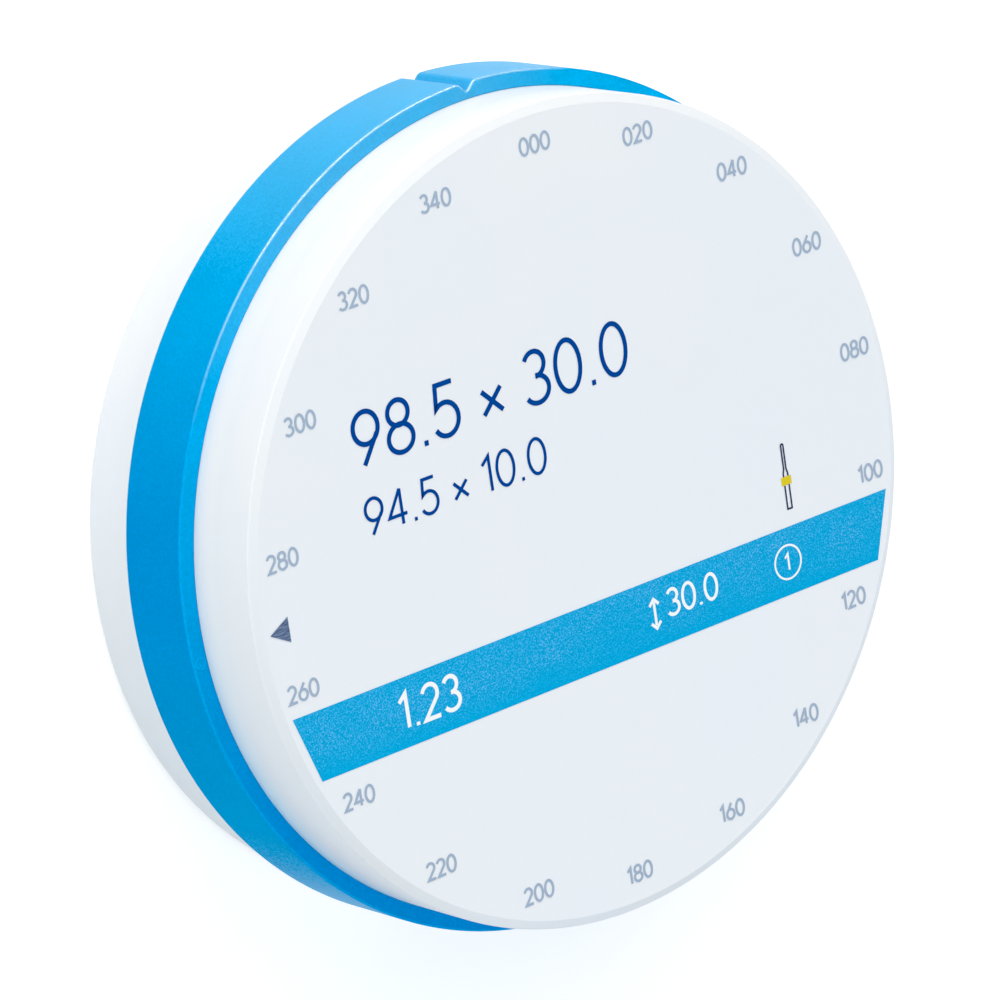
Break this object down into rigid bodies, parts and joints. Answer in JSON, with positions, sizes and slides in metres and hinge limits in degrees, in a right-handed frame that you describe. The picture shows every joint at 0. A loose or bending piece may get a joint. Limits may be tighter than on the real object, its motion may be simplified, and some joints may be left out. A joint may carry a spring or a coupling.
{
  "type": "dental milling disc",
  "caption": "Round pre-sintered ceramic blank held in a blue moulded ring with a locating notch, for milling crowns and bridges.",
  "frame": {"origin": "centre of the back face, which the disc lies on", "axes": "+Z along the disc's axis, out of the printed face; +X along the printed band; +Y towards the notch"},
  "size_m": [0.0984, 0.0984, 0.0301],
  "materials": {
    "ceramic": "chalky matte, unglazed",
    "ring_plastic": "satin moulded",
    "band_ink": "printed ink, matt, slightly mottled",
    "dark_ink": "printed ink, matt",
    "yellow_ink": "printed ink, matt"
  },
  "bodies": {
    "root": {"ceramic_blank": "ceramic", "holder_ring": "ring_plastic", "ink_band": "band_ink", "ink_pointer": "dark_ink", "ink_tool_shank": "dark_ink", "ink_tool_head": "dark_ink", "ink_tool_ring": "yellow_ink"}
  },
  "joints": []
}
